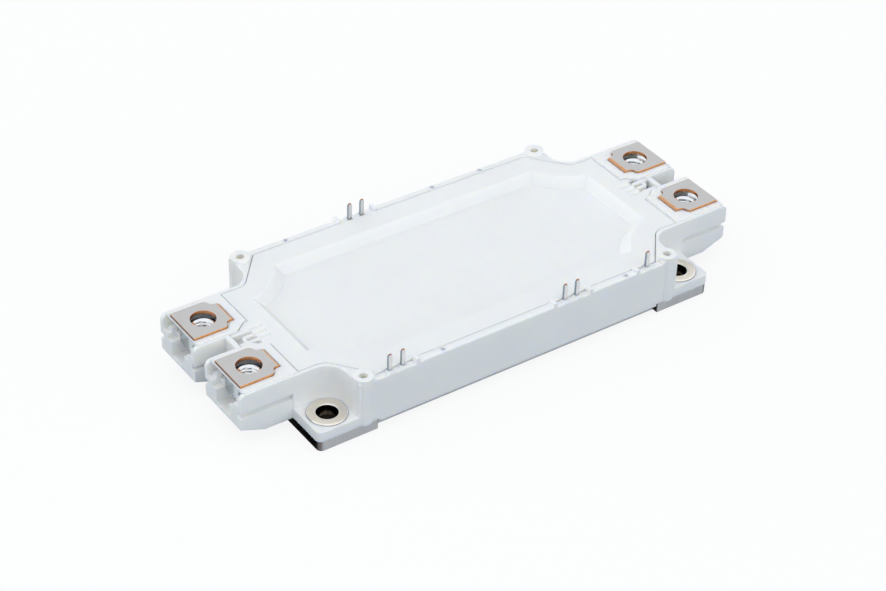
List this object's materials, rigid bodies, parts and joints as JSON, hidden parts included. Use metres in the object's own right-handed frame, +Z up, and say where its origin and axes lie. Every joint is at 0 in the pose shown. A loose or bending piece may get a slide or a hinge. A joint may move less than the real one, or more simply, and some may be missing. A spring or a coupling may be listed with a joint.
{
  "type": "power diode module",
  "caption": "Flat white power diode module: metal baseplate with screw sleeves, moulded frame with a sunk lid, copper screw terminals over nuts at both ends and upright signal pins.",
  "frame": {"origin": "centre of the baseplate's underside", "axes": "+X along the module towards one pair of terminals, +Y across it, +Z up from the heat sink face"},
  "size_m": [0.152, 0.0632, 0.0207],
  "materials": {
    "plate_metal": "nickel plated copper, ground underside, dull",
    "frame_plastic": "white moulded plastic, fine matt grain",
    "lid_plastic": "white moulded plastic, fine matt grain",
    "sleeve_metal": "nickel plated turned metal, warm tone",
    "terminal_metal": "copper with dull tin plating on the faces and bare copper cut edges",
    "nut_steel": "zinc plated steel, bright bluish",
    "pin_metal": "tinned copper with bare copper tips",
    "foil_metal": "bare copper",
    "tile_ceramic": "white sintered ceramic",
    "chip_material": "dark polished semiconductor",
    "wire_metal": "drawn aluminium wire",
    "sensor_body": "dark sintered ceramic with tinned ends"
  },
  "bodies": {
    "root": {"baseplate": "plate_metal", "housing_frame": "frame_plastic", "lid": "lid_plastic", "mounting_sleeve_1": "sleeve_metal", "power_terminal_1": "terminal_metal", "terminal_nut_1": "nut_steel", "mounting_sleeve_2": "sleeve_metal", "power_terminal_2": "terminal_metal", "terminal_nut_2": "nut_steel", "mounting_sleeve_3": "sleeve_metal", "power_terminal_3": "terminal_metal", "terminal_nut_3": "nut_steel", "mounting_sleeve_4": "sleeve_metal", "power_terminal_4": "terminal_metal", "terminal_nut_4": "nut_steel", "signal_pin_1": "pin_metal", "signal_pin_2": "pin_metal", "signal_pin_3": "pin_metal", "signal_pin_4": "pin_metal", "signal_pin_5": "pin_metal", "signal_pin_6": "pin_metal", "signal_pin_7": "pin_metal", "lower_foil_1": "foil_metal", "ceramic_tile_1": "tile_ceramic", "upper_foil_1": "foil_metal", "diode_chips_1": "chip_material", "bond_wires_1": "wire_metal", "lower_foil_2": "foil_metal", "ceramic_tile_2": "tile_ceramic", "upper_foil_2": "foil_metal", "diode_chips_2": "chip_material", "bond_wires_2": "wire_metal", "lower_foil_3": "foil_metal", "ceramic_tile_3": "tile_ceramic", "upper_foil_3": "foil_metal", "diode_chips_3": "chip_material", "bond_wires_3": "wire_metal", "lower_foil_4": "foil_metal", "ceramic_tile_4": "tile_ceramic", "upper_foil_4": "foil_metal", "diode_chips_4": "chip_material", "bond_wires_4": "wire_metal", "tile_link_1": "foil_metal", "tile_link_2": "foil_metal", "tile_link_3": "foil_metal", "tile_link_4": "foil_metal", "tile_link_5": "foil_metal", "tile_link_6": "foil_metal", "pin_wires": "wire_metal", "temperature_sensor": "sensor_body"}
  },
  "joints": []
}
